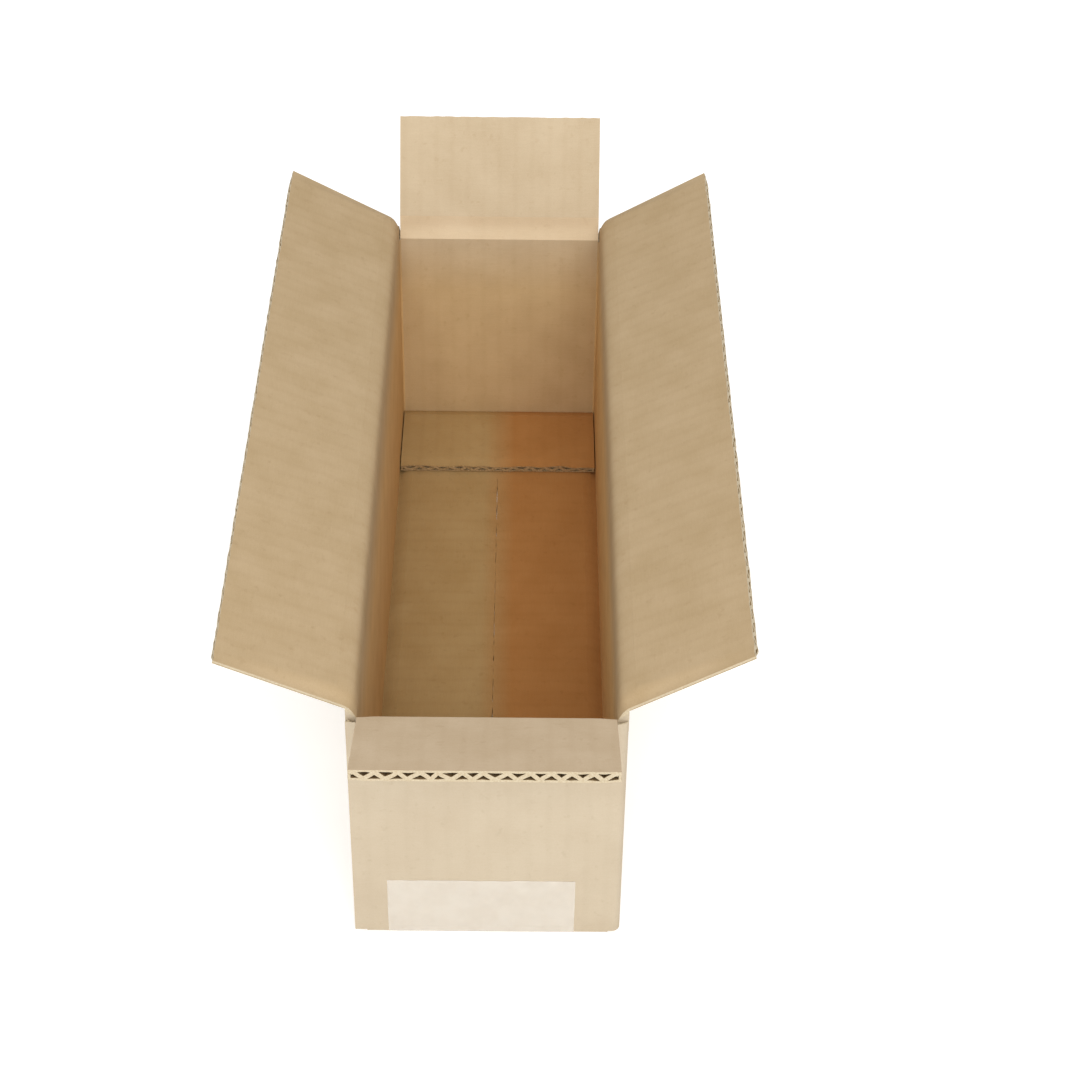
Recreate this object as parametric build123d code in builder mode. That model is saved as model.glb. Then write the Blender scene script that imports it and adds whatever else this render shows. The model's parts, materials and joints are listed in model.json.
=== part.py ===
"""Slotted corrugated shipping box for one bottle lying down.

One scored and slotted sheet of single-wall board is folded into a tube, glued along a tab in one
corner and closed at the bottom by its flaps and a strip of tape. The four top flaps stand open.

Frame: millimetres, +Z up. The origin is under the middle of the box, on the surface it stands on.
The front is at -Y and the long sides are at -X (left) and +X (right).
"""

from build123d import *
import math
import os

# Box, measured over the outer faces
length = 335.0
width = 100.0
panel_height = 108.0  # end panels, from the ground to the fold of their top flaps

# Corrugated board
board = 4.0
liner = 0.5
medium = 0.45  # the wavy paper between the two liners
flute_pitch = 7.3
flute_flank_share = 0.68  # straight flank of the wave, as a share of half a pitch
flute_apex_share = 0.6  # how much of the flat on a wave top is bevelled off
flute_edge = 3.0  # closed strip at the two cut ends of a flap
flute_stop = 3.0  # crushed strip beyond the fold, where the flutes end

# Folds
fold_radius = 3.0  # outside of an upright fold
lower_radius = 1.2  # outside of a bottom fold
lower_nose = 2.0  # flat under the bottom edge of an end panel
inside_radius = 0.8  # inside of an upright fold
crease_gap = 0.3  # from the fold line to the crushed edge on each side of it
crease_nose = 0.15  # paper left at the outer face beside a fold line
crease_slope = 1.05  # mitre of the inner side, a little over 45 degrees
lap_gap = 0.3  # between flaps that lie on each other

# Flaps
seam_gap = 1.0  # between the two long flaps where they meet
short_flap = 49.5  # from fold to free edge
long_inset = 2.0  # slot beside each end of a long flap
short_inset = 4.5  # slot beside each end of a short flap
slot_drop = 1.0  # how far the upper corner slots run past the folds

# How far each top flap leans outward from upright, in degrees
left_lean = 64.5
right_lean = 61.0
back_lean = 30.5
front_lean = 70.5

# Glued corner joint at the front left
tab_width = 35.0
tab_taper = 6.0  # how much shorter the tab is at its free edge, at each end
tab_relief = 2.0  # clear of the lower flap and the upper slots

# Sealing tape
tape_width = 70.0
tape_offset = -2.3  # the strip lies a little left of the seam
tape = 0.2
tape_leg = 28.0  # how far it climbs each end panel
tape_bend = 1.0  # inside of its bend at the bottom edge

# Heights of the folds, worked out from the sizes above
long_floor = tape
short_floor = long_floor + board + lap_gap
short_fold = panel_height
long_fold = short_fold + board + lap_gap
mitre_drop = crease_gap + (board - crease_nose) * crease_slope
tube_low = long_floor + lower_radius
tube_high = short_fold - mitre_drop - slot_drop

# Flap sizes
long_flap = width / 2 - seam_gap / 2
long_run = length - 2 * long_inset
short_run = width - 2 * short_inset
lower_run = length - 2 * (board + lap_gap)  # lower long flaps lie between the end panels

UP = Vector(0, 0, 1)
# Each panel: direction into the box, distance of its outer face, bottom of its lower flap and run of
# that flap along its fold, fold of its upper flap, flap length, run and lean of its upper flap
PANELS = {
    "left": (Vector(1, 0, 0), width / 2, long_floor, lower_run, long_fold, long_flap, long_run, left_lean),
    "right": (Vector(-1, 0, 0), width / 2, long_floor, lower_run, long_fold, long_flap, long_run, right_lean),
    "front": (Vector(0, 1, 0), length / 2, short_floor, short_run, short_fold, short_flap, short_run, front_lean),
    "back": (Vector(0, -1, 0), length / 2, short_floor, short_run, short_fold, short_flap, short_run, back_lean),
}


def panel_plane(inward, face):
    """Upright plane across a panel: x runs into the box from its outer face, y runs up."""
    return Plane(origin=inward * -face, x_dir=inward, z_dir=inward.cross(UP))


def flap_plane(inward, face, fold, lean):
    """Plane across a leaning flap at its fold line: x runs through the board, y along the flap."""
    angle = math.radians(lean)
    across = inward * math.cos(angle) + UP * math.sin(angle)
    along = UP * math.cos(angle) - inward * math.sin(angle)
    return Plane(origin=inward * -face + UP * fold, x_dir=across, z_dir=across.cross(along))


# Folded sheet: the tube of four panels, its glue tab, lower flaps and the edges of the upper folds
with BuildPart() as box_body:
    with BuildSketch(Plane.XY.offset(tube_low)):
        RectangleRounded(width, length, fold_radius)
        RectangleRounded(width - 2 * board, length - 2 * board, inside_radius, mode=Mode.SUBTRACT)
        # The front panel keeps a square raw edge at the glued corner
        with Locations((-width / 2, -length / 2)):
            Rectangle(board, board, align=(Align.MIN, Align.MIN))
        # Behind it the left panel rounds inward into its tab
        with Locations((-width / 2, -length / 2 + board)):
            Rectangle(board / 2, board / 2, align=(Align.MIN, Align.MIN), mode=Mode.SUBTRACT)
        with Locations((-width / 2 + board / 2, -length / 2 + board * 3 / 2)):
            Circle(board / 2)
    extrude(amount=tube_high - tube_low)

    tab_low = short_floor + board + tab_relief
    tab_high = tube_high - tab_relief
    with BuildSketch(Plane.XZ.offset(length / 2 - board)):
        with BuildLine():
            Polyline(
                (-width / 2 + board / 2, tab_low),
                (-width / 2 + board + tab_width, tab_low + tab_taper),
                (-width / 2 + board + tab_width, tab_high - tab_taper),
                (-width / 2 + board / 2, tab_high),
                close=True,
            )
        make_face()
    extrude(amount=-board)

    for inward, face, floor, floor_run, fold, flap, run, lean in PANELS.values():
        # Under an end panel the sheet climbs from its bottom edge onto the long flaps
        if floor > long_floor:
            with BuildSketch(panel_plane(inward, face)):
                with BuildLine():
                    Polyline((lower_nose, 0), (board + lap_gap, floor), (board + lap_gap, 0), close=True)
                make_face()
            extrude(amount=floor_run / 2, both=True, mode=Mode.SUBTRACT)
        # Lower flap, folded in from the rounded bottom edge of its panel
        with BuildSketch(panel_plane(inward, face)):
            with BuildLine():
                Polyline(
                    (0, tube_low),
                    (0, floor + board),
                    (flap, floor + board),
                    (flap, floor),
                    (board + lap_gap, floor),
                    (lower_nose, long_floor),
                    (lower_radius, long_floor),
                )
                RadiusArc((lower_radius, long_floor), (0, tube_low), lower_radius)
            make_face()
        extrude(amount=floor_run / 2, both=True)
        # Upper edge, mitred on the inside of the fold
        with BuildSketch(panel_plane(inward, face)):
            with BuildLine():
                Polyline(
                    (0, tube_high),
                    (board, tube_high),
                    (board, fold - mitre_drop),
                    (crease_nose, fold - crease_gap),
                    (0, fold - crease_gap),
                    close=True,
                )
            make_face()
        extrude(amount=run / 2, both=True)
box_body.part.label = "box_body"

# Wave of the board: one hollow between two flanks, worked out from pitch and thickness
hollow_height = board - 2 * liner - medium
flank_angle = math.degrees(math.atan2(hollow_height, flute_pitch / 2 * flute_flank_share))
flank_slope = math.tan(math.radians(flank_angle))
hollow_middle = (flute_pitch / 2 - medium / math.sin(math.radians(flank_angle))) / 2
hollow_base = hollow_middle + (board / 2 - liner) / flank_slope
hollow_top = hollow_middle - (board / 2 - liner - medium) / flank_slope
apex_bevel = flute_apex_share * hollow_top


def top_flap(inward, face, fold, flap, run, lean):
    """One open flap: mitred at its fold, with the flutes open at its free edge."""
    across = flap_plane(inward, face, fold, lean)
    free_edge = Plane(
        origin=across.origin + across.y_dir * flap, x_dir=across.z_dir, z_dir=across.y_dir
    )
    hollows = int((run - 2 * flute_edge) / flute_pitch)
    with BuildPart() as leaf:
        with BuildSketch(across):
            with BuildLine():
                Polyline(
                    (0, crease_gap),
                    (crease_nose, crease_gap),
                    (board, mitre_drop),
                    (board, flap),
                    (0, flap),
                    close=True,
                )
            make_face()
        extrude(amount=run / 2, both=True)
        with BuildSketch(free_edge):
            with Locations((0, liner + hollow_height / 2)):
                with GridLocations(flute_pitch, 0, hollows, 1):
                    Trapezoid(2 * hollow_base, hollow_height, flank_angle)
            with Locations((0, board - liner - hollow_height / 2)):
                with GridLocations(flute_pitch, 0, hollows - 1, 1):
                    Trapezoid(2 * hollow_base, hollow_height, flank_angle, rotation=180)
            rows = vertices().group_by(Axis.Y)
            chamfer(rows[1] + rows[2], apex_bevel)
        extrude(amount=mitre_drop + flute_stop - flap, mode=Mode.SUBTRACT)
    return leaf


# Sealing tape under the seam, folded up both end panels
with BuildPart() as sealing_tape:
    with BuildSketch(Plane.YZ.offset(tape_offset)):
        Rectangle(length + 2 * tape, tape + tape_leg, align=(Align.CENTER, Align.MIN))
        fillet(vertices().group_by(Axis.Y)[0], tape_bend + tape)
        with BuildSketch(mode=Mode.SUBTRACT):
            with Locations((0, tape)):
                Rectangle(length, tape_leg, align=(Align.CENTER, Align.MIN))
            fillet(vertices().group_by(Axis.Y)[0], tape_bend)
    extrude(amount=tape_width / 2, both=True)
sealing_tape.part.label = "sealing_tape"

os.makedirs("parts", exist_ok=True)
export_step(box_body.part, "parts/box_body.step")
export_step(sealing_tape.part, "parts/sealing_tape.step")
for side, (inward, face, floor, floor_run, fold, flap, run, lean) in PANELS.items():
    leaf = top_flap(inward, face, fold, flap, run, lean)
    leaf.part.label = f"{side}_flap"
    export_step(leaf.part, f"parts/{side}_flap.step")
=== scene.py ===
# %% [markdown]
# # A corrugated shipping box for one bottle
# The real thing is one sheet of brown corrugated board, cut, creased, folded and glued into a long low
# box. Its four upper flaps stand open, its lower flaps are taped shut. This lesson builds the board as
# what it is: two flat liners with a wavy paper between them, so that every cut edge shows real flutes.
#
# The frame gives the folds, leans and sizes. Everything here is placed from it, in metres.

import json
import math
from collections import namedtuple

import bmesh
import bpy
from mathutils import Matrix, Vector, noise


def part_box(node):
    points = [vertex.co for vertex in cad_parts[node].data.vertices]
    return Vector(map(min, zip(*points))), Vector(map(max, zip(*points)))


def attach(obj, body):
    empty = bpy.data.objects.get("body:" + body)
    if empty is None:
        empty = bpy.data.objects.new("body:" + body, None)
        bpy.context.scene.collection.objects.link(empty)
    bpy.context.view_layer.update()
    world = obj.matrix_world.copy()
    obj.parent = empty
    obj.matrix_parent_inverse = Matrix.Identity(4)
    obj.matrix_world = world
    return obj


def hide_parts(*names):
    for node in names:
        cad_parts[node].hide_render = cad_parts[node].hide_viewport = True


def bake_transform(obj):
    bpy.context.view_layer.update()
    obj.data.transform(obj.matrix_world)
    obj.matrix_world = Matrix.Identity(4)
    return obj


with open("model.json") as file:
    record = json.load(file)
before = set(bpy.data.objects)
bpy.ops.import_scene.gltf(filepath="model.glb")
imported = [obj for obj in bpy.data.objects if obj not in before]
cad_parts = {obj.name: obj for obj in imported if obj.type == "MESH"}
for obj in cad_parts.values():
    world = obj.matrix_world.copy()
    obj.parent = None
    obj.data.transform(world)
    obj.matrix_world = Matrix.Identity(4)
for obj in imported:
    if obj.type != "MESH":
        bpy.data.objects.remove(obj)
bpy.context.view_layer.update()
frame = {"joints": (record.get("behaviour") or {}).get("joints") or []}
MM = 0.001
UP = Vector((0, 0, 1))

# %% [markdown]
# ## Panels and folds
# Each side of the box is a wall with a flap hinged at its top. A fold could be described by a matrix, but
# a small record of plain facts is easier to read: which way is inward, where the fold line is, how far
# the flap leans out. The joint's closed limit is the lean plus a right angle, so the lean is read off the
# frame and never typed twice.

# %% Describe the four panels
Panel = namedtuple("Panel", "side inward along fold lean run reach")
SIDES = ("left", "right", "front", "back")


def read_panel(side):
    """Facts of one wall and its upper flap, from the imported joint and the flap's box."""
    joint = next(j for j in frame["joints"] if j["child"] == f"{side}_flap")
    fold = Vector(joint["pos_m"])
    inward = -Vector((fold.x, fold.y, 0)).normalized()
    along = inward.cross(UP)
    lean = math.radians(joint["range_deg"][1] - 90)
    low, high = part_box(f"{side}_flap")
    run = abs((high - low).dot(along))
    outward_reach = max(-(low - fold).dot(inward), -(high - fold).dot(inward))
    return Panel(side, inward, along, fold, lean, run, outward_reach / math.sin(lean))


def fold_axis(panel):
    """The axis that a panel's fold runs along. Its flutes are counted along the same axis."""
    return "X" if abs(panel.along.x) > abs(panel.along.y) else "Y"


panels = {side: read_panel(side) for side in SIDES}
for panel in panels.values():
    lean_deg, reach_mm = math.degrees(panel.lean), panel.reach / MM
    print(panel.side, "lean", round(lean_deg, 1), "reach mm", round(reach_mm, 1))

# %% [markdown]
# ## One way to make shader nodes
# Materials here are node trees. They could be drawn in the shader editor, but written down they can be
# read and changed. A single helper adds a node, sets its properties and fills or links its inputs.
# Colours are written as the sRGB hex values that one reads off a swatch, and turned to linear once.

# %% Helpers for materials


def linear(hex_colour):
    """Linear RGBA from an sRGB hex value."""
    parts = [int(hex_colour[i:i + 2], 16) / 255 for i in (1, 3, 5)]
    return [p / 12.92 if p <= 0.04045 else ((p + 0.055) / 1.055) ** 2.4 for p in parts] + [1.0]


def node(tree, kind, inputs=None, **settings):
    """Adds a node. settings are properties, inputs are values, or the nodes or sockets to link from."""
    made = tree.nodes.new(kind)
    for name, value in settings.items():
        setattr(made, name, value)
    for key, value in (inputs or {}).items():
        if isinstance(value, bpy.types.Node):
            value = next(output for output in value.outputs if output.enabled)
        if isinstance(value, bpy.types.NodeSocket):
            tree.links.new(value, made.inputs[key])
        else:
            made.inputs[key].default_value = value
    return made


def new_material(name):
    """An empty material and its node tree."""
    material = bpy.data.materials.new(name)
    material.use_nodes = True
    material.node_tree.nodes.clear()
    return material, material.node_tree


# %% [markdown]
# ## Kraft liner
# The faces of the board are kraft paper: unbleached pulp, rolled smooth, with long fibres that lie mostly
# along the machine direction, cloudy patches where the pulp is thicker, and a few dark specks of bark.
# Over the flutes the paper sinks a little, and the shade of that sinking is painted as faint stripes one
# flute apart. A photograph could be wrapped round it, but layered noise at real sizes stays sharp from any
# distance.

# %% Lay out the patterns of kraft paper
FLUTE = 7.3 * MM
FIBRE_WIDTH = 0.45 * MM  # real fibres are about 0.04 mm wide, drawn coarser so that they show
FIBRE_LENGTH = 6.0 * MM
CLOUD = 16.0 * MM
SCUFF = 3.0 * MM
GRAIN = 0.35 * MM
SPECK_SPACING = 9.0 * MM
STRIPE_WANDER = 3.0  # how far the clouds push a stripe along, in radians of its wave
Patterns = namedtuple("Patterns", "axes fibres clouds scuffs grain specks flutes")


def paper_patterns(tree, across):
    """Noises at real sizes, and the wave of the flutes, which are counted along the axis across."""
    place = node(tree, "ShaderNodeTexCoord").outputs["Object"]
    axes = node(tree, "ShaderNodeSeparateXYZ", {"Vector": place}).outputs
    per_fibre = [1 / (FIBRE_LENGTH if axis == across else FIBRE_WIDTH) for axis in "XYZ"]
    stretched = node(tree, "ShaderNodeVectorMath", {0: place, 1: per_fibre}, operation="MULTIPLY")
    fibres = node(tree, "ShaderNodeTexNoise", {"Vector": stretched, "Scale": 1.0, "Detail": 3.0})
    clouds = node(tree, "ShaderNodeTexNoise", {"Vector": place, "Scale": 1 / CLOUD, "Detail": 4.0})
    scuffs = node(tree, "ShaderNodeTexNoise", {"Vector": place, "Scale": 1 / SCUFF, "Detail": 2.0})
    grain = node(tree, "ShaderNodeTexNoise", {"Vector": place, "Scale": 1 / GRAIN, "Detail": 2.0})
    specks = node(tree, "ShaderNodeTexVoronoi",
                  {"Vector": place, "Scale": 1 / SPECK_SPACING, "Randomness": 1.0})
    pushed = node(tree, "ShaderNodeMath", {0: clouds, 1: STRIPE_WANDER}, operation="MULTIPLY")
    turns = node(tree, "ShaderNodeMath", {0: axes[across], 1: 2 * math.pi / FLUTE, 2: pushed},
                 operation="MULTIPLY_ADD")
    flutes = node(tree, "ShaderNodeMath", {0: turns}, operation="SINE")
    return Patterns(axes, fibres, clouds, scuffs, grain, specks, flutes)


# %% [markdown]
# The paper is made in layers, as the eye takes it in. Clouds, fibres and grain mix a pale and a deep
# tone. Stripes, scuffs and specks then darken it; the stripes are painted shade where the paper sinks
# between flutes. Towards the rim the walls are painted in paler tones, as painted light, and the floor to
# the right of its seam is painted in a darker, more reddish shade. Kraft is matt: its roughness is about
# 0.85 and its IOR about 1.5, and its loose fibres leave little gloss.

# %% Helper for kraft paper
CLOUD_SHARE, FIBRE_SHARE, GRAIN_SHARE = 0.5, 0.15, 0.35  # their say in the tone
NOISE_LOW, NOISE_HIGH = 0.3, 0.7
STRIPE_FROM = 0.2  # height of the flutes' wave where a stripe begins
SCUFF_LOW, SCUFF_HIGH, SCUFF_SHARE = 0.62, 0.78, 0.14
SPECK_CORE, SPECK_RIM, SPECK_SHARE = 0.02, 0.06, 0.08
SPECK_TONE = "#77593a"
# Painted shade: the floor to the right of its seam is made darker and more reddish
WARM_SHADE_TINT = "#fdd9ba"
WARM_SHADE_FROM, WARM_SHADE_TO = -6.0 * MM, 8.0 * MM
RIM = panels["front"].fold.z
# Depth below the rim over which the walls are painted in paler tones, as painted light
RIM_LIGHT_FADE = 32.0 * MM
GRAIN_RELIEF = 0.5
SMOOTH_FIBRE, ROUGH_FIBRE = 0.78, 0.92
LOW_GLOSS = 0.2


def kraft_liner(name, tones, across, stripe, warm_shade=0.0, rim_lit_tones=None):
    """Kraft paper. across is the axis that flutes are counted along and stripe is how dark the painted
    shade of the sunken paper between flutes is. The next argument is how strongly its right half is painted
    in a darker, more reddish shade, and the last gives the paler tones that it is painted in towards the
    rim, as painted light."""
    material, tree = new_material(name)
    seen = paper_patterns(tree, across)
    tone = 0.0
    mixed = ((seen.clouds, CLOUD_SHARE), (seen.fibres, FIBRE_SHARE), (seen.grain, GRAIN_SHARE))
    for pattern, say in mixed:
        share = node(tree, "ShaderNodeMapRange",
                     {"Value": pattern, "From Min": NOISE_LOW, "From Max": NOISE_HIGH})
        tone = node(tree, "ShaderNodeMath", {0: share, 1: say, 2: tone}, operation="MULTIPLY_ADD")
    pale, deep = (linear(colour) for colour in tones)
    paper = node(tree, "ShaderNodeMix", {"Factor": tone, "A": pale, "B": deep}, data_type="RGBA")
    # Painted light: towards the rim the paper is painted in paler tones
    if rim_lit_tones:
        rim_lit_pale, rim_lit_deep = (linear(colour) for colour in rim_lit_tones)
        rim_lit_paper = node(tree, "ShaderNodeMix", {"Factor": tone, "A": rim_lit_pale, "B": rim_lit_deep},
                         data_type="RGBA")
        rim_light_share = node(tree, "ShaderNodeMapRange",
                        {"Value": seen.axes["Z"], "From Min": RIM - RIM_LIGHT_FADE, "From Max": RIM})
        paper = node(tree, "ShaderNodeMix", {"Factor": rim_light_share, "A": paper, "B": rim_lit_paper},
                     data_type="RGBA")

    # Painted shade: faint stripes one flute apart, where the paper sinks between flutes
    dip_shade = node(tree, "ShaderNodeMapRange",
                {"Value": seen.flutes, "From Min": STRIPE_FROM, "To Max": stripe})
    scuffed = node(tree, "ShaderNodeMapRange",
                   {"Value": seen.scuffs, "From Min": SCUFF_LOW, "From Max": SCUFF_HIGH,
                    "To Max": SCUFF_SHARE})
    specked = node(tree, "ShaderNodeMapRange",
                   {"Value": seen.specks, "From Min": SPECK_CORE, "From Max": SPECK_RIM,
                    "To Min": SPECK_SHARE, "To Max": 0.0})
    layers = [(dip_shade, deep, "MULTIPLY"), (scuffed, deep, "MULTIPLY"), (specked, linear(SPECK_TONE), "MIX")]
    # Painted shade: the right half is multiplied darker and more reddish
    if warm_shade:
        reddish_shade_share = node(tree, "ShaderNodeMapRange",
                      {"Value": seen.axes["X"], "From Min": WARM_SHADE_FROM, "From Max": WARM_SHADE_TO,
                       "To Max": warm_shade})
        layers.append((reddish_shade_share, linear(WARM_SHADE_TINT), "MULTIPLY"))
    for share, colour, blend in layers:
        paper = node(tree, "ShaderNodeMix", {"Factor": share, "A": paper, "B": colour}, data_type="RGBA",
                     blend_type=blend)

    relief = node(tree, "ShaderNodeMath", {0: seen.grain, 1: GRAIN_RELIEF, 2: seen.fibres},
                  operation="MULTIPLY_ADD")
    bump = node(tree, "ShaderNodeBump", {"Height": relief, "Strength": 0.2, "Distance": 0.1 * MM})
    matt = node(tree, "ShaderNodeMapRange",
                {"Value": seen.fibres, "To Min": SMOOTH_FIBRE, "To Max": ROUGH_FIBRE})
    shader = node(tree, "ShaderNodeBsdfPrincipled",
                  {"Base Color": paper, "Roughness": matt, "Normal": bump, "IOR": 1.5,
                   "Specular IOR Level": LOW_GLOSS})
    node(tree, "ShaderNodeOutputMaterial", {"Surface": shader})
    return material


# %% [markdown]
# One kind of paper is given several tones here, and most of the differences are painted light and
# shade. The outside is greyer, a painted stand-in for the washed-out look of its brightly lit faces. The
# side flaps are darker than the end flaps. The end folds are palest: their paper is stretched, and they
# carry a painted highlight of the rounded fold. The floor is deepest, painted shade down in the box. The
# walls are painted paler towards the rim as painted light, and the back flap takes that pale tone. Each
# gets its own pale and deep tone. Liners come in pairs, for flutes counted along X and along Y.

# %% Make the kraft liners
END_TONES = ("#d0bb9e", "#c0a98a")
SIDE_TONES = ("#c3ab88", "#b39a74")
# Paler tones that the end walls are painted in towards the rim, as painted light
RIM_LIT_TONES = ("#d5c2a4", "#c5b090")
END_WALL_TONES = ("#d7bd90", "#c5a97d")
SIDE_WALL_TONES = ("#debc85", "#cca874")
# Palest tones of the end folds: paler stretched paper and a painted highlight of the rounded fold
STRETCHED_HIGHLIGHT_TONES = ("#e8d3b3", "#d7c09d")
# Darker tones of the floor: painted shade down in the box
DEEP_SHADE_TONES = ("#bc9f6f", "#ad8d5b")
# Greyer outer tones: a painted stand-in for the washed-out look of brightly lit faces
OUTER_WASHED_OUT_TONES = ("#c1b39c", "#b7a78f")
# How dark the painted shade of the sunken paper between flutes is
STRIPE, OUTER_STRIPE, CREASE_STRIPE = 0.04, 0.03, 0.02
inner_liner = {"X": kraft_liner("kraft_inner_x", END_TONES, "X", STRIPE),
               "Y": kraft_liner("kraft_inner_y", SIDE_TONES, "Y", STRIPE)}
wall_liner = {"X": kraft_liner("kraft_wall_x", END_WALL_TONES, "X", STRIPE, rim_lit_tones=RIM_LIT_TONES),
              "Y": kraft_liner("kraft_wall_y", SIDE_WALL_TONES, "Y", STRIPE, rim_lit_tones=SIDE_TONES)}
crease_liner = {"X": kraft_liner("kraft_stretched_highlit_x", STRETCHED_HIGHLIGHT_TONES, "X", CREASE_STRIPE),
                "Y": wall_liner["Y"]}
outer_liner = {"X": kraft_liner("kraft_outer_x", OUTER_WASHED_OUT_TONES, "X", OUTER_STRIPE),
               "Y": kraft_liner("kraft_outer_y", OUTER_WASHED_OUT_TONES, "Y", OUTER_STRIPE)}
# The floor liners carry the painted shade of the floor
shaded_floor_liner = {"X": kraft_liner("kraft_floor_shaded_x", DEEP_SHADE_TONES, "X", STRIPE, warm_shade=1.0),
               "Y": kraft_liner("kraft_floor_shaded_y", DEEP_SHADE_TONES, "Y", STRIPE, warm_shade=1.0)}
print("liners:", [material.name for material in bpy.data.materials if material.name.startswith("kraft")])

# %% [markdown]
# ## Fluting paper and cut edges
# The wavy paper inside is thinner and rougher. A cut through board tears the fibres, so the edge is paler
# than the face and fuzzy. Both are simple mixes of two tones by a fine noise.

# %% Make the raw papers
FUZZ_LOW, FUZZ_HIGH = 0.35, 0.65


def raw_paper(name, pale, deep, scale):
    """Torn or unrolled paper: two tones mixed by fine noise, and a fuzzy bump."""
    material, tree = new_material(name)
    place = node(tree, "ShaderNodeTexCoord").outputs["Object"]
    fuzz = node(tree, "ShaderNodeTexNoise",
                {"Vector": place, "Scale": 1 / scale, "Detail": 4.0, "Roughness": 0.6})
    share = node(tree, "ShaderNodeMapRange", {"Value": fuzz, "From Min": FUZZ_LOW, "From Max": FUZZ_HIGH})
    paper = node(tree, "ShaderNodeMix", {"Factor": share, "A": linear(pale), "B": linear(deep)},
                 data_type="RGBA")
    bump = node(tree, "ShaderNodeBump", {"Height": fuzz, "Strength": 0.5, "Distance": 0.15 * MM})
    shader = node(tree, "ShaderNodeBsdfPrincipled",
                  {"Base Color": paper, "Normal": bump, "Roughness": 0.92, "Specular IOR Level": LOW_GLOSS})
    node(tree, "ShaderNodeOutputMaterial", {"Surface": shader})
    return material


medium_paper = raw_paper("fluting_medium", "#bfa67f", "#9d825a", 0.8 * MM)
cut_edge = raw_paper("torn_kraft_edge", "#cabda3", "#b8a688", 0.5 * MM)
print("raw papers:", medium_paper.name, cut_edge.name)

# %% [markdown]
# ## Sheets of paper as closed slabs
# Every liner and flute sheet is thin but has two faces and cut edges. A plane with a Solidify modifier
# would do, but building both faces by hand lets each have its own material: face, back and cut edge.

# %% Helpers for meshes
INNER, OUTER, FLUTES, CUT = range(4)
SHARP_DEG = 35  # an edge that turns by more than this stays sharp


def slab(bm, top, bottom, top_slot, bottom_slot, edge_slot=CUT):
    """Closed sheet between two grids of points, given row by row."""
    rows, columns = len(top), len(top[0])
    upper = [[bm.verts.new(p) for p in row] for row in top]
    lower = [[bm.verts.new(p) for p in row] for row in bottom]
    for i in range(rows - 1):
        for j in range(columns - 1):
            for grid, slot in ((upper, top_slot), (lower, bottom_slot)):
                corners = [grid[i][j], grid[i][j + 1], grid[i + 1][j + 1], grid[i + 1][j]]
                face = bm.faces.new(corners if grid is upper else corners[::-1])
                face.material_index = slot
    rim = [(0, j) for j in range(columns)]
    rim += [(i, columns - 1) for i in range(1, rows)]
    rim += [(rows - 1, j) for j in range(columns - 2, -1, -1)]
    rim += [(i, 0) for i in range(rows - 2, 0, -1)]
    for (i, j), (k, m) in zip(rim, rim[1:] + rim[:1]):
        face = bm.faces.new([upper[k][m], upper[i][j], lower[i][j], lower[k][m]])
        face.material_index = edge_slot


def tube(bm, loops, slots, cap_slot=CUT):
    """Closed solid through a row of equal loops of points. slots gives the material of each side."""
    rings = [[bm.verts.new(p) for p in loop] for loop in loops]
    count = len(rings[0])
    for first, second in zip(rings, rings[1:]):
        for j in range(count):
            k = (j + 1) % count
            face = bm.faces.new([first[j], first[k], second[k], second[j]])
            face.material_index = slots[j]
    for ring in (rings[0][::-1], rings[-1]):
        bm.faces.new(ring).material_index = cap_slot


def finish_mesh(bm, name, materials, sharp_deg=SHARP_DEG):
    """Turns a bmesh into an object with smooth faces and sharp edges where the surface turns."""
    bmesh.ops.recalc_face_normals(bm, faces=bm.faces)
    for face in bm.faces:
        face.smooth = True
    for edge in bm.edges:
        edge.smooth = edge.calc_face_angle(0) < math.radians(sharp_deg)
    mesh = bpy.data.meshes.new(name)
    bm.to_mesh(mesh)
    bm.free()
    for material in materials:
        mesh.materials.append(material)
    made = bpy.data.objects.new(name, mesh)
    bpy.context.scene.collection.objects.link(made)
    print(name, "has", len(mesh.polygons), "faces")
    return made


# %% [markdown]
# ## A leaf of corrugated board
# A flap is a leaf: inner liner, outer liner, and between them the medium, a wave one flute long. At its
# free edge the slitter has pressed it unevenly, so there the waves wander, the paper frays and the two
# liners come a little closer. At its two cut ends the blade ran along a flute and left a pale web between
# the liners, which are pressed together there. The noise that makes all this uneven is smooth, and each
# use of it has its own seed.

# %% Measure the board
BOARD = 4.0 * MM
LINER = 0.6 * MM  # about twice the real paper, so that the edge lines read at this distance
MEDIUM = 0.5 * MM
ROOT_ZONE = 9.0 * MM
EDGE_ZONE = 6.0 * MM  # pressed strip at the free edge
END_ZONE = 7.0 * MM  # pressed strip beside a cut end
MIDDLE_STEP = 10.0 * MM
SEED_STEPS = (7.31, 1.7)  # unlike steps keep the noise of two seeds apart


def smooth_step(value, low, high):
    """0 below low, 1 above high, and an easy slope between."""
    share = min(1.0, max(0.0, (value - low) / (high - low)))
    return share * share * (3 - 2 * share)


def spread(low, high, step):
    """Evenly spaced values from low to high, at most step apart."""
    count = max(1, math.ceil((high - low) / step))
    return [low + (high - low) * i / count for i in range(count + 1)]


def wobble(x, scale, seed):
    """Smooth noise from -1 to 1 along a line."""
    return noise.noise(Vector((x / scale, seed * SEED_STEPS[0], seed * SEED_STEPS[1])))


def press_ends(t, n, u, run, reach, press):
    """Height n, pressed near a cut end: to the outer side at the fold, to the inner one away from it."""
    return n + press * smooth_step(abs(t), run / 2 - END_ZONE, run / 2) * (u / reach - n / BOARD)


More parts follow.
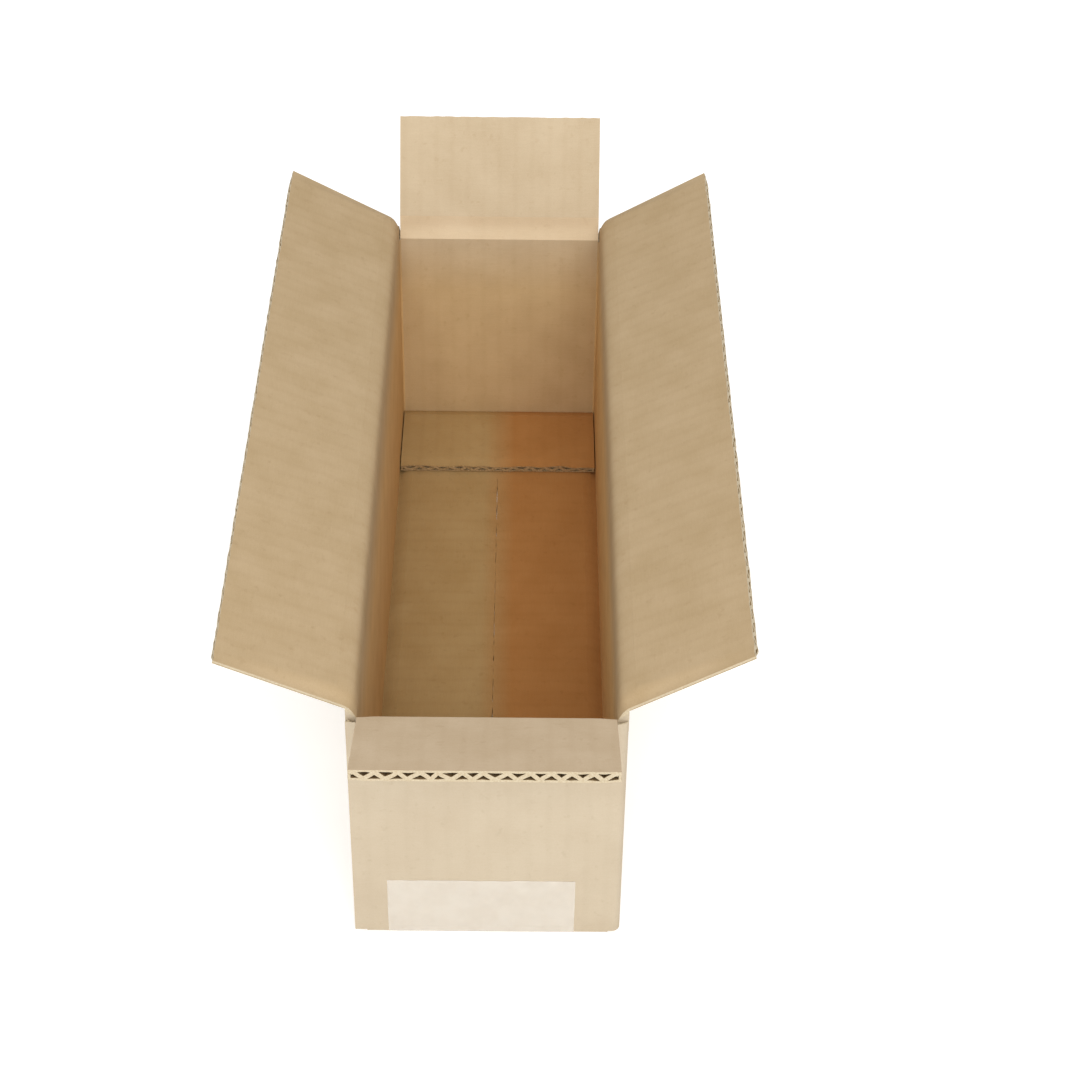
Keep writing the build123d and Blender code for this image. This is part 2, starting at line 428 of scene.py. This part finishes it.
def leaf_rows(start, reach):
    """Places along a leaf: closer together at the fold and the free edge."""
    root = [start + ROOT_ZONE * share for share in (0, 0.33, 0.66)]
    middle = spread(start + ROOT_ZONE, reach - EDGE_ZONE, MIDDLE_STEP)
    edge = [reach - EDGE_ZONE * share for share in (0.66, 0.33, 0.1, 0)]
    return root + middle + edge


print("flutes to a side flap:", round(panels["left"].run / FLUTE, 1))

# %% [markdown]
# The wave could be an array of one curved strip, but computed point by point it can wander and fray at
# the edge. A third harmonic straightens its flanks, as on real board, where the paper runs from crest to
# crest.

# %% Helper for the wavy paper
WEB = 1.0 * MM  # the wave stops short of the web at each cut end
SHARP_WAVE = 0.09  # share of the third harmonic
WAVE_POINTS = 14  # points to a flute
MEDIUM_FRAY = 1.0 * MM  # frayed paper looks thicker at the cut
FRAY_ZONE = 2.5 * MM
EDGE_WANDER, WANDER_SCALE, WANDER_SEED = 1.4 * MM, 5.0 * MM, 5
EDGE_SWAY, SWAY_SCALE = 0.1 * MM, 4.0 * MM


def add_wave(bm, point, run, reach, start, seed):
    """Adds the wave between the liners. Its thickness is measured square to the sheet."""
    swing = (BOARD - 2 * LINER - MEDIUM) / 2
    waves = spread(-run / 2 + WEB, run / 2 - WEB, FLUTE / WAVE_POINTS)
    faces = []
    for side_of_sheet in (1, -1):
        grid = []
        for u in leaf_rows(start, reach):
            loose = smooth_step(u, reach - 2 * EDGE_ZONE, reach)
            frayed = MEDIUM_FRAY * smooth_step(u, reach - FRAY_ZONE, reach)
            half = side_of_sheet * (MEDIUM + frayed) / 2
            line = []
            for t in waves:
                wander = EDGE_WANDER * wobble(t, WANDER_SCALE, seed + WANDER_SEED) * loose
                phase = 2 * math.pi * (t + wander) / FLUTE
                swung = (math.cos(phase) + SHARP_WAVE * math.cos(3 * phase)) / (1 + SHARP_WAVE)
                sway = EDGE_SWAY * loose
                height = (swing - sway) * swung + sway * wobble(t, SWAY_SCALE, seed)
                slope = -swing * 2 * math.pi / FLUTE * math.sin(phase)
                tilt = math.hypot(1, slope)
                line.append(point(t - half * slope / tilt, BOARD / 2 + height + half / tilt, u))
            grid.append(line)
        faces.append(grid)
    slab(bm, faces[0], faces[1], FLUTES, FLUTES)


# %% [markdown]
# One mapping places all the sheets of a leaf, so they can't come apart. A point is told by how far it
# lies along the fold (t), through the board from its outer face (n) and away from the fold (u).

# %% Helper for leaves
FACE_POINTS = 8  # points to a flute on a liner
WASHBOARD = 0.015 * MM  # how far the liner sinks between flutes
WEB_SET_BACK = 0.15 * MM
WAVE_SET_BACK = 1.0 * MM  # the wave begins a little later than the liners
EDGE_PRESS, PRESS_SCALE, PRESS_SEED = 0.1 * MM, 7.0 * MM, 3
EDGE_NICK, NICK_SCALE, NICK_ZONE = 0.25 * MM, 3.0 * MM, 2.0 * MM
LINER_FRAY, FRAY_SCALE, FRAY_SEED = 0.3 * MM, 2.0 * MM, 9
FRAY_MEAN, FRAY_SPREAD = 0.7, 0.9


def add_leaf(bm, place, run, reach, roots, seed, end_press=0.0, edge_press=EDGE_PRESS):
    """Adds the sheets of a leaf. place(t, n, u) maps a point of flat board to where it lies. roots tells
    how far from the fold line the inner and the outer liner begin, end_press and edge_press how much
    thinner the board is at its two cut ends and at its free edge."""

    def point(t, n, u):
        uneven = 0.5 + 0.5 * wobble(t, PRESS_SCALE, seed + PRESS_SEED)
        press = edge_press * uneven * smooth_step(u, reach - EDGE_ZONE, reach)
        nick = EDGE_NICK * wobble(t, NICK_SCALE, seed) * smooth_step(u, reach - NICK_ZONE, reach)
        n = n * (1 - press / BOARD)
        return place(t, press_ends(t, n, u, run, reach, end_press), u + nick)

    def sheet(columns, root_above, root_below, upper, lower, slots):
        rows = leaf_rows(root_above, reach)
        shear = (reach - root_below) / (reach - root_above)
        top = [[point(t, upper(t, u), u) for t in columns] for u in rows]
        bottom = [[point(t, lower(t, u), reach - (reach - u) * shear) for t in columns] for u in rows]
        slab(bm, top, bottom, *slots)

    def outer_face(t, u):
        return WASHBOARD * (1 - math.cos(2 * math.pi * t / FLUTE))

    def outer_back(t, u):
        uneven = FRAY_MEAN + FRAY_SPREAD * wobble(t, FRAY_SCALE, seed + FRAY_SEED)
        return LINER + LINER_FRAY * uneven * smooth_step(u, reach - FRAY_ZONE, reach)

    def inner_face(t, u):
        return BOARD - outer_face(t, u)

    def inner_back(t, u):
        return BOARD - outer_back(t, u)

    columns = spread(-run / 2, run / 2, FLUTE / FACE_POINTS)
    inner_root, outer_root = roots
    sheet(columns, inner_root, inner_root, inner_face, inner_back, (INNER, FLUTES))
    sheet(columns, outer_root, outer_root, outer_back, outer_face, (FLUTES, OUTER))
    for end in (-1, 1):
        web = [end * (run / 2 - WEB), end * (run / 2 - WEB_SET_BACK)]
        sheet(web, inner_root, outer_root, lambda t, u: BOARD - LINER, lambda t, u: LINER, (CUT, CUT))
    add_wave(bm, point, run, reach, inner_root + WAVE_SET_BACK, seed)


# %% [markdown]
# ## The four upper flaps
# The side flaps have been handled more than the others and sag a little: the left one is twisted, so that
# its front end hangs lower than its back end. They sag outward only, so that nothing is cut when they
# close. Their cut ends are pressed thin and slant down to the fold. The flap pieces stand for the plain
# solids and ride on the same bodies.

# %% Make the upper flaps
# Degrees that the two ends of a flap lean out more than its joint tells
SAGS = {"left": (4.0, 0.0), "right": (2.0, 2.0), "front": (0.0, 0.0), "back": (0.0, 0.0)}
END_PRESS = {"left": 2.7 * MM, "right": 2.7 * MM, "front": 0.4 * MM, "back": 0.4 * MM}
CREASE_INNER = 4.5 * MM  # from the fold line to where the inner liner lies flat
CREASE_OUTER = 0.8 * MM
UPPER_SEED = 1


def board_materials(panel):
    """The four board materials of a flap. The back flap takes the liner of the rim below it, painted in its
    pale tone as painted light.
    """
    axis = fold_axis(panel)
    # The back flap is painted in the rim's pale tone, as painted light
    faces = wall_liner if panel.side == "back" else inner_liner
    return [faces[axis], outer_liner[axis], medium_paper, cut_edge]


def flap_place(panel, near_sag, far_sag):
    """Mapping of an upper flap: its two ends may lean out some degrees more than its joint tells."""

    def place(t, n, u):
        share = t / panel.run + 0.5
        angle = panel.lean + math.radians(far_sag + (near_sag - far_sag) * share)
        through = panel.inward * math.cos(angle) + UP * math.sin(angle)
        away = UP * math.cos(angle) - panel.inward * math.sin(angle)
        return panel.fold + panel.along * t + through * n + away * u

    return place


places = {side: flap_place(panels[side], *SAGS[side]) for side in SIDES}
for seed, side in enumerate(SIDES, UPPER_SEED):
    panel = panels[side]
    leaf_mesh = bmesh.new()
    add_leaf(leaf_mesh, places[side], panel.run, panel.reach, (CREASE_INNER, CREASE_OUTER), seed,
             END_PRESS[side])
    leaf = finish_mesh(leaf_mesh, f"{side}_flap_board", board_materials(panel))
    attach(leaf, f"{side}_flap")
    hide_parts(f"{side}_flap")

# %% [markdown]
# ## Creases
# At each fold the liners run on from wall to flap. Bent open, the inner liner is drawn over the crushed
# board. The crease is its own band, which meets the wall at one edge and the flap at the other and turns
# smoothly in between. Its section is a Bezier curve, whose ends keep clear of the mitre line. The end folds
# are crushed to a groove, which leaves room for the side flaps to close over them.

# %% Make the creases
# How far from the outer faces the corner of the bent liner lies
CREASE_CORNER = {"left": 3.5 * MM, "right": 3.5 * MM, "front": 1.0 * MM, "back": 1.6 * MM}
# How much flatter a crease is at its cut ends, where it runs down to the corner of the box
CREASE_TUCK = {"left": 0.55, "right": 0.55, "front": 0.0, "back": 0.0}
CREASE_PULL = 0.97  # how near the corner the curve is drawn
CREASE_STEPS = 14
CREASE_PAPER = 0.1 * MM  # thickness of the outer liner at the fold line
CREASE_SHARP_DEG = 50
STATION = 6.0 * MM
END_STATIONS = (0.2, 0.4, 0.6)  # more sections beside a cut end, as shares of the pressed strip
BEND_FROM, BEND_TO = 0.08, 0.92  # shares of the way across the crease, from wall to flap


def wall_point(panel, t, s, z):
    """Point of a wall: along the fold, in from its outer face, up from the fold line."""
    return panel.fold + panel.along * t + panel.inward * s + UP * z


def crease_loop(panel, place, t):
    """Section of a crease: over the inner side from wall to flap, then back along the outer side."""
    press = END_PRESS[panel.side]
    start = wall_point(panel, t, BOARD, -CREASE_INNER)
    end, outer_end = [place(t, press_ends(t, n, u, panel.run, panel.reach, press), u)
                      for n, u in ((BOARD, CREASE_INNER), (0, CREASE_OUTER))]
    inset = CREASE_CORNER[panel.side]
    corner = wall_point(panel, t, inset, inset * math.tan(panel.lean / 2))
    flat = CREASE_TUCK[panel.side] * smooth_step(abs(t), panel.run / 2 - END_ZONE, panel.run / 2)
    corner = corner.lerp((start + end) / 2, flat)
    first, second = start.lerp(corner, CREASE_PULL), end.lerp(corner, CREASE_PULL)
    inner = []
    for step in range(CREASE_STEPS + 1):
        b = step / CREASE_STEPS
        a = 1 - b
        inner.append(start * a ** 3 + first * 3 * a * a * b + second * 3 * a * b * b + end * b ** 3)
    outer = [outer_end, wall_point(panel, t, CREASE_PAPER, 0), wall_point(panel, t, 0, -CREASE_OUTER)]
    return inner + outer


for side, panel in panels.items():
    stations = spread(-panel.run / 2, panel.run / 2, STATION)
    for share in END_STATIONS:
        stations += [end * (panel.run / 2 - END_ZONE * share) for end in (-1, 1)]
    band_mesh = bmesh.new()
    loops = [crease_loop(panel, places[side], t) for t in sorted(stations)]
    tube(band_mesh, loops, [INNER] * CREASE_STEPS + [CUT, OUTER, OUTER, CUT])
    # The end folds are painted pale: stretched paper and a painted highlight of the rounded fold
    band_materials = [crease_liner[fold_axis(panel)], *board_materials(panel)[1:]]
    band = finish_mesh(band_mesh, f"{side}_crease", band_materials, CREASE_SHARP_DEG)
    wall_edge = wall_point(panel, 0, BOARD, -CREASE_INNER)
    flap_edge = places[side](0, BOARD, CREASE_INNER)
    bend = [wall_edge.lerp(flap_edge, share) for share in (BEND_FROM, BEND_TO)]
    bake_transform(band)

# %% [markdown]
# ## The folded body
# The walls are one ring of board with three rounded folds and one glued corner. There the front panel
# ends in a raw edge, and the left panel curls in behind it to become the glue tab. The ring could be four
# boxes, but then its corners would be sharp and its joint invisible. Instead two outlines, outer and
# inner, are drawn first.

# %% Draw the outlines of the walls
body_low, body_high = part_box("box_body")
half_x, half_y = body_high.x, body_high.y
FOLD_RADIUS = 3.0 * MM
INSIDE_RADIUS = 0.8 * MM
RAW_DEPTH = 0.9 * MM  # hollow between the liners at a cut edge along the flutes
OUTER_STEPS, INNER_STEPS = 5, 3  # points to a rounded fold


def arc(centre, radius, start_deg, end_deg, count):
    """Points on an arc in plan."""
    angles = [math.radians(start_deg + (end_deg - start_deg) * i / count) for i in range(count + 1)]
    return [(centre[0] + radius * math.cos(a), centre[1] + radius * math.sin(a)) for a in angles]


in_x, in_y = half_x - BOARD, half_y - BOARD
curl = BOARD / 2
outer_plan = []
for x_sign, y_sign, start in ((1, -1, -90), (1, 1, 0), (-1, 1, 90)):
    centre = (x_sign * (half_x - FOLD_RADIUS), y_sign * (half_y - FOLD_RADIUS))
    outer_plan += arc(centre, FOLD_RADIUS, start, start + 90, OUTER_STEPS)
outer_plan += arc((-half_x + curl, -half_y + BOARD + curl), curl, 180, 270, OUTER_STEPS)
raw_edge = [(0, BOARD), (0, BOARD - LINER), (RAW_DEPTH, BOARD - LINER)]
raw_edge += [(RAW_DEPTH, LINER), (0, LINER), (0, 0)]
outer_plan += [(-half_x + x, -half_y + y) for x, y in raw_edge]
inner_plan = []
for x_sign, y_sign, start in ((1, -1, -90), (1, 1, 0), (-1, 1, 90), (-1, -1, 180)):
    centre = (x_sign * (in_x - INSIDE_RADIUS), y_sign * (in_y - INSIDE_RADIUS))
    inner_plan += arc(centre, INSIDE_RADIUS, start, start + 90, INNER_STEPS)
print("outline points:", len(outer_plan), "outer,", len(inner_plan), "inner")

# %% [markdown]
# The outlines are then raised into a tube. It ends where the slots beside the flaps begin, except at the
# corners outside the slots, which stand up to the folds of the end panels.

# %% Make the ring of walls
LAP_GAP = 0.3 * MM
SLOT_DROP = 1.0 * MM
LOWER_RADIUS = 1.2 * MM
CREASE_GAP, CREASE_NOSE, CREASE_SLOPE = 0.3 * MM, 0.15 * MM, 1.05  # the mitre of a fold
ROW_STEP = 12.0 * MM
MARGIN = 0.05 * MM  # slack when two places are compared
WALL_ZONE = 1.2 * BOARD  # a wall and its rounded inside corners
IN_X, IN_Y, OUT_X, OUT_Y, FLOOR_X, FLOOR_Y, RAW = range(7)
BODY_MATERIALS = [liner[axis] for liner in (wall_liner, outer_liner, shaded_floor_liner) for axis in "XY"]
BODY_MATERIALS.append(cut_edge)
long_floor = body_low.z
ring_low = long_floor + LOWER_RADIUS
mitre_drop = CREASE_GAP + (BOARD - CREASE_NOSE) * CREASE_SLOPE
ring_high = panels["front"].fold.z - mitre_drop - SLOT_DROP
post_x, post_y = panels["front"].run / 2, panels["left"].run / 2
post_high = panels["front"].fold.z - LAP_GAP


def fill_straights(points, step):
    """The closed outline with points added along its long runs."""
    dense = []
    for (x0, y0), (x1, y1) in zip(points, points[1:] + points[:1]):
        parts = max(1, math.ceil(math.hypot(x1 - x0, y1 - y0) / step))
        dense += [(x0 + (x1 - x0) * i / parts, y0 + (y1 - y0) * i / parts) for i in range(parts)]
    return dense


def wall_axis(x, y):
    """The axis that a wall's flutes are counted along."""
    return "Y" if abs(abs(x) - half_x) < WALL_ZONE and abs(y) < half_y - BOARD else "X"


def outer_slot(x0, y0, x1, y1):
    """Material of one outer strip: raw where the front panel ends, liner elsewhere."""
    at_joint = max(x0, x1) < -half_x + RAW_DEPTH + MARGIN
    if at_joint and -half_y < y0 and max(y0, y1) < -half_y + BOARD + MARGIN:
        return RAW
    return OUT_Y if wall_axis((x0 + x1) / 2, (y0 + y1) / 2) == "Y" else OUT_X


def inner_slot(x0, y0, x1, y1):
    """Material of one inner strip."""
    return IN_Y if wall_axis((x0 + x1) / 2, (y0 + y1) / 2) == "Y" else IN_X


def add_ring(bm, plan, slot_of, sink):
    """Raises one outline into a wall surface and returns its rim edges, bottom and top."""
    dense = fill_straights(plan, FLUTE / FACE_POINTS)
    count = len(dense)
    rows = spread(ring_low, ring_high, ROW_STEP)
    grid = []
    for z in rows:
        line = []
        fade = smooth_step(z, ring_low, ring_low + ROW_STEP) * smooth_step(ring_high - z, 0, ROW_STEP)
        for x, y in dense:
            long_side = wall_axis(x, y) == "Y"
            dip = fade * sink * (1 - math.cos(2 * math.pi * (y if long_side else x) / FLUTE)) / 2
            inward = Vector((-x, 0, 0) if long_side else (0, -y, 0)).normalized()
            post = z == rows[-1] and abs(x) > post_x and abs(y) > post_y
            line.append(bm.verts.new(Vector((x, y, post_high if post else z)) + inward * dip))
        grid.append(line)
    for low, high in zip(grid, grid[1:]):
        for j in range(count):
            k = (j + 1) % count
            face = bm.faces.new([low[j], low[k], high[k], high[j]])
            face.material_index = slot_of(*dense[j], *dense[k])
    rims = []
    for line in (grid[0], grid[-1]):
        rims.append([bm.edges.get((line[j], line[(j + 1) % count])) for j in range(count)])
    return rims


ring_mesh = bmesh.new()
outer_rims = add_ring(ring_mesh, outer_plan, outer_slot, WASHBOARD)
inner_rims = add_ring(ring_mesh, inner_plan, inner_slot, -WASHBOARD)
for outer_rim, inner_rim in zip(outer_rims, inner_rims):
    filled = bmesh.ops.triangle_fill(ring_mesh, use_beauty=True, edges=outer_rim + inner_rim)
    for element in filled["geom"]:
        if isinstance(element, bmesh.types.BMFace):
            element.material_index = RAW
print("ring:", len(ring_mesh.faces), "faces")

# %% [markdown]
# ## Rails and lower folds
# Above the ring each wall runs up to its crease as a rail, and below it turns under into its lower flap.
# They could be cut out of the walls with a Boolean, but each is a short extrusion of one section, so it
# is simply added to the same mesh. The inside of a lower fold is crushed to a groove, which draws a dark
# line in the corner.

# %% Add rails and lower folds to the walls
LOWER_NOSE = 2.0 * MM  # flat under the bottom edge of an end panel
LOWER_STEPS = 4
LEAF_START = 10.0 * MM  # from the outer face to where the lower leaf begins
GROOVE = 2.2 * MM
# The groove from the floor to the wall: in from the wall's inner face, and down from the top of the flap
GROOVE_PATH = ((3.0 * MM, 0.3 * MM), (1.0 * MM, 0.75 * GROOVE), (-0.5 * MM, GROOVE))
short_floor = long_floor + BOARD + LAP_GAP
floors = {"left": long_floor, "right": long_floor, "front": short_floor, "back": short_floor}
lower_long_run = 2 * (half_y - BOARD - LAP_GAP)
lower_runs = {"left": lower_long_run, "right": lower_long_run, "front": panels["front"].run,
              "back": panels["back"].run}


def rail_section(panel):
    """Top of a wall up to its crease: pairs of inward and height, then the material of each side."""
    top = panel.fold.z
    outline = [(0, ring_high), (0, top - CREASE_OUTER), (BOARD, top - CREASE_INNER), (BOARD, ring_high)]
    return outline, [OUT_X, RAW, IN_X, RAW]


def fold_section(floor):
    """A wall turning under into its lower flap, with a groove in the inside corner."""
    bend = arc((0, 0), LOWER_RADIUS, 0, 90, LOWER_STEPS)
    outer = [(LOWER_RADIUS - x, ring_low - y) for x, y in bend]
    outer += [(LOWER_NOSE, long_floor), (BOARD + LAP_GAP, floor), (LEAF_START, floor)]
    top = floor + BOARD
    inner = [(LEAF_START, top)] + [(BOARD + inward, top - down) for inward, down in GROOVE_PATH]
    inner.append((inner[-1][0], ring_low))
    return outer + inner, [OUT_X] * (len(outer) - 1) + [RAW] + [FLOOR_X] * 3 + [RAW, RAW]


def add_extrusion(bm, panel, section, run):
    """Extrudes a wall section along its fold. Its marks name materials of an end panel."""
    outline, marks = section
    along_y = fold_axis(panel) == "Y"
    slots = [mark if mark == RAW else mark + along_y for mark in marks]
    foot = Vector((panel.fold.x, panel.fold.y, 0))
    loops = []
    for t in spread(-run / 2, run / 2, ROW_STEP):
        loops.append([foot + panel.along * t + panel.inward * s + UP * z for s, z in outline])
    tube(bm, loops, slots, OUT_X)


for side, panel in panels.items():
    add_extrusion(ring_mesh, panel, rail_section(panel), panel.run)
    add_extrusion(ring_mesh, panel, fold_section(floors[side]), lower_runs[side])
body = finish_mesh(ring_mesh, "folded_walls", BODY_MATERIALS)
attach(body, "box")
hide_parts("box_body")

# %% [markdown]
# ## Lower flaps
# Two long flaps meet in a seam along the bottom, and the two end flaps lie on them inside. They could be
# plain slabs, but as leaves they show flutes at the free edges of the end flaps, which are pressed flat
# here.

# %% Make the lower flaps
SEAM_CLOSE = 0.45 * MM  # the two long flaps nearly touch along their seam
CRUSHED = 2.2 * MM
LOWER_SEED = 11


def lower_place(panel, floor):
    """Mapping of a lower flap: through the board is up, away from the fold is inward."""
    foot = Vector((panel.fold.x, panel.fold.y, floor))

    def place(t, n, u):
        return foot + panel.along * t + UP * n + panel.inward * u

    return place


for seed, side in enumerate(SIDES, LOWER_SEED):
    panel = panels[side]
    axis = fold_axis(panel)
    leaf_mesh = bmesh.new()
    under = floors[side] == long_floor
    reach = panel.reach + (SEAM_CLOSE if under else 0)
    edge_press = EDGE_PRESS if under else CRUSHED
    place = lower_place(panel, floors[side])
    add_leaf(leaf_mesh, place, lower_runs[side], reach, (LEAF_START, LEAF_START), seed,
             edge_press=edge_press)
    leaf_materials = [shaded_floor_liner[axis], outer_liner[axis], medium_paper, medium_paper]
    leaf = finish_mesh(leaf_mesh, f"{side}_lower_flap", leaf_materials)
    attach(leaf, "box")

# %% [markdown]
# ## The glue tab
# A strip of the left panel lies inside the front panel, with its ends cut at a slant so that it never
# shows past the corner. It could be a leaf with flutes, but its edges are pressed shut, so it is a
# slanted slab of board with softened edges.

# %% Make the glue tab
TAB_WIDTH = 35.0 * MM
TAB_TAPER = 6.0 * MM
TAB_RELIEF = 2.0 * MM
TAB_SOFT, TAB_ROUND = 0.4 * MM, 0.6  # size and fullness of its bevelled edges
tab_low, tab_high = short_floor + BOARD + TAB_RELIEF, ring_high - TAB_RELIEF
tab_x0, tab_x1 = -half_x + BOARD, -half_x + BOARD + TAB_WIDTH
tab_corners = [(tab_x0, tab_low), (tab_x1, tab_low + TAB_TAPER)]
tab_corners += [(tab_x1, tab_high - TAB_TAPER), (tab_x0, tab_high)]
tab_mesh = bmesh.new()
tab_loops = [[Vector((x, -half_y + depth, z)) for x, z in tab_corners] for depth in (BOARD, 2 * BOARD)]
tube(tab_mesh, tab_loops, [CUT] * 4, INNER)
bmesh.ops.bevel(tab_mesh, geom=tab_mesh.edges[:], offset=TAB_SOFT, segments=2, profile=TAB_ROUND,
                affect="EDGES")
tab = finish_mesh(tab_mesh, "glue_tab", [wall_liner["X"], outer_liner["X"], medium_paper, cut_edge])
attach(tab, "box")

# %% [markdown]
# ## Sealing tape
# The tape is polypropylene film, cast smooth and coated with glue. Seen over brown paper it looks like a
# milky pane: the film scatters a little, and its glossy face catches the room. A glass shader would be
# truer but slower, so a pale film with a low alpha lets most of the paper through. Polypropylene has an
# IOR of 1.49.

# %% Make the film
PRESSED_PATCH = 9.0 * MM  # size of the patches where the glue has taken hold
PATCH_LOW, PATCH_HIGH = 0.35, 0.65
CLEAR, MILKY = 0.29, 0.34
film, film_tree = new_material("polypropylene_tape")
film_place = node(film_tree, "ShaderNodeTexCoord").outputs["Object"]
pressed = node(film_tree, "ShaderNodeTexNoise",
               {"Vector": film_place, "Scale": 1 / PRESSED_PATCH, "Detail": 3.0})
stuck = node(film_tree, "ShaderNodeMapRange",
             {"Value": pressed, "From Min": PATCH_LOW, "From Max": PATCH_HIGH, "To Min": CLEAR,
              "To Max": MILKY})
ripples = node(film_tree, "ShaderNodeBump", {"Height": pressed, "Strength": 0.05, "Distance": 0.2 * MM})
film_shader = node(film_tree, "ShaderNodeBsdfPrincipled",
                   {"Base Color": linear("#f4eee4"), "Alpha": stuck, "Normal": ripples, "Roughness": 0.3,
                    "IOR": 1.49})
node(film_tree, "ShaderNodeOutputMaterial", {"Surface": film_shader})
print("film:", film.name)

# %% [markdown]
# The strip is pressed under the seam and up both ends. Its path is drawn once from the side, and moved in
# by the film's thickness for the inner face. Its long edges waver a little and its ends are snipped
# unevenly.

# %% Make the tape
TAPE = 0.2 * MM
GLUE = 0.05 * MM  # film of glue that keeps the strip off the paper
BEND = 1.0 * MM
BEND_STEPS = 5
LEG_STEP = 4.0 * MM
TAPE_COLUMNS = 28
WAVER, WAVER_SCALE, WAVER_SEED, WAVER_POWER = 0.25 * MM, 14.0 * MM, 21, 6
SNIP, SNIP_SCALE, SNIP_SEED, SNIP_ZONE = 0.35 * MM, 5.0 * MM, 31, 1.0 * MM
tape_low, tape_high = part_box("sealing_tape")
tape_wide = tape_high.x - tape_low.x
leg_top = tape_high.z


def tape_path(offset):
    """The strip's path from the top of its front leg to that of its back leg, moved in by offset."""
    reach_y, radius = half_y + TAPE - offset, BEND + TAPE - offset
    path = [(-reach_y, z) for z in spread(BEND + TAPE, leg_top, LEG_STEP)[::-1]]
    for step in range(1, BEND_STEPS + 1):
        turn = math.radians(90 * step / BEND_STEPS)
        path.append((-reach_y + radius - radius * math.cos(turn), BEND + TAPE - radius * math.sin(turn)))
    flat = [(y, offset) for y in spread(-reach_y + radius, reach_y - radius, ROW_STEP)[1:-1]]
    return path + flat + [(-y, z) for y, z in path[::-1]]


def tape_point(y, z, column):
    """One point of the strip. Its long edges waver, and the tops of its legs are uneven."""
    share = column / TAPE_COLUMNS
    at_edge = (abs(share - 0.5) * 2) ** WAVER_POWER
    waver = WAVER * wobble(y + z, WAVER_SCALE, WAVER_SEED + (share > 0.5)) * at_edge
    at_top = smooth_step(z, leg_top - SNIP_ZONE, leg_top)
    snip = SNIP * wobble(share * tape_wide, SNIP_SCALE, SNIP_SEED) * at_top
    return Vector((tape_low.x + tape_wide * share + waver, y, z + snip))


tape_mesh = bmesh.new()
outside = [[tape_point(y, z, j) for j in range(TAPE_COLUMNS + 1)] for y, z in tape_path(0)]
inside = [[tape_point(y, z, j) for j in range(TAPE_COLUMNS + 1)] for y, z in tape_path(TAPE - GLUE)]
slab(tape_mesh, outside, inside, 0, 0, 0)
strip = finish_mesh(tape_mesh, "tape_strip", [film])
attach(strip, "box")
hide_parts("sealing_tape")

# %% [markdown]
# ## Floor and light
# The photograph is a high-key packshot: a white sweep and light from everywhere, a little more from above
# the front. The white floor glows slightly, as a sweep that is lit on its own. A white world fills in
# from all sides, one large softbox stands at the front and a weak one hangs above. The light that bounces
# between the brown walls makes the inside deeper and warmer, and the painted shade of the floor adds to
# that.

# %% Make the stage
SWEEP_GLOW = 0.36
AMBIENT = 0.72
WHITE = (1, 1, 1, 1)
FLOOR = 4.0  # half its width, in metres
FLOOR_DROP = 0.1 * MM
BOX_MIDDLE = Vector((0, 0, 0.08))
sweep, sweep_tree = new_material("white_sweep")
sweep_shader = node(sweep_tree, "ShaderNodeBsdfPrincipled",
                    {"Base Color": linear("#f6f6f6"), "Roughness": 0.9, "Emission Color": WHITE,
                     "Emission Strength": SWEEP_GLOW})
node(sweep_tree, "ShaderNodeOutputMaterial", {"Surface": sweep_shader})
floor_mesh = bpy.data.meshes.new("floor")
floor_corners = [(x * FLOOR, y * FLOOR, -FLOOR_DROP) for x, y in ((-1, -1), (1, -1), (1, 1), (-1, 1))]
floor_mesh.from_pydata(floor_corners, [], [(0, 1, 2, 3)])
floor_mesh.materials.append(sweep)
floor = bpy.data.objects.new("floor", floor_mesh)
bpy.context.scene.collection.objects.link(floor)

world = bpy.data.worlds.new("studio")
bpy.context.scene.world = world
world.use_nodes = True
world.node_tree.nodes["Background"].inputs["Color"].default_value = WHITE
world.node_tree.nodes["Background"].inputs["Strength"].default_value = AMBIENT


def softbox(name, place, size, watts):
    """A square area light that faces the middle of the box."""
    light = bpy.data.lights.new(name, "AREA")
    light.size = size
    light.energy = watts
    lamp = bpy.data.objects.new(name, light)
    lamp.location = place
    lamp.rotation_euler = (BOX_MIDDLE - Vector(place)).to_track_quat("-Z", "Y").to_euler()
    bpy.context.scene.collection.objects.link(lamp)
    print(name, "gives", watts, "W")


softbox("front_softbox", place=(0.2, -1.7, 1.2), size=1.3, watts=21)
softbox("overhead_softbox", place=(0, -0.2, 1.6), size=1.0, watts=2.5)

# %% [markdown]
# ## Camera
# The camera was found by matching the corners of the box to the photograph: a long lens, about 38 degrees
# down, almost in line with the box and very slightly rolled. It could be aimed with a constraint, but
# three angles and a place say all that the match gave.

# %% Make the camera
FOCAL_PIXELS = 2415.9
FRAME_PIXELS = 1080
SENSOR_MM = 36
EYE = Vector((11.36, -791.97, 686.28)) * MM
PITCH, ROLL, YAW = (math.radians(angle) for angle in (38.46, 0.9, 0.57))
ahead = Vector((math.sin(YAW) * math.cos(PITCH), math.cos(YAW) * math.cos(PITCH), -math.sin(PITCH)))
level = Vector((math.cos(YAW), -math.sin(YAW), 0))
right = level * math.cos(ROLL) + level.cross(ahead) * math.sin(ROLL)
above = right.cross(ahead)
camera_data = bpy.data.cameras.new("camera")
camera_data.sensor_width = SENSOR_MM
camera_data.lens = FOCAL_PIXELS * SENSOR_MM / FRAME_PIXELS
camera = bpy.data.objects.new("camera", camera_data)
camera.matrix_world = Matrix.Translation(EYE) @ Matrix((right, above, -ahead)).transposed().to_4x4()
bpy.context.scene.collection.objects.link(camera)
bpy.context.scene.camera = camera
bpy.context.scene.view_settings.view_transform = "Standard"
print("lens mm:", round(camera_data.lens, 1))
